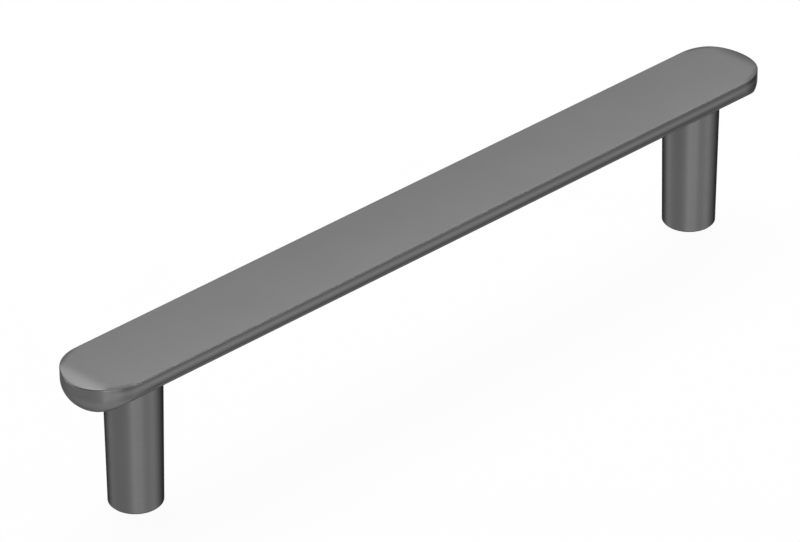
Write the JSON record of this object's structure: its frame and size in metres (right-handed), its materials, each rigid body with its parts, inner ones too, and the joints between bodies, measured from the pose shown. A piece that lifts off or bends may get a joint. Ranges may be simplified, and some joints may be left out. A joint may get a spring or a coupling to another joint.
{
  "type": "cabinet bar handle",
  "caption": "One-piece bar handle: a slim flat bar with full-round ends on tapered round posts, each with a tapped foot for a screw from behind the door.",
  "frame": {"origin": "on the mounting plane, midway between the centres of the two feet", "axes": "+X along the bar, +Z away from the door that the handle is screwed to, +Y across the bar"},
  "size_m": [0.1924, 0.019, 0.035],
  "materials": {
    "finish": "satin dark grey coating"
  },
  "bodies": {
    "root": {"handle": "finish"}
  },
  "joints": []
}
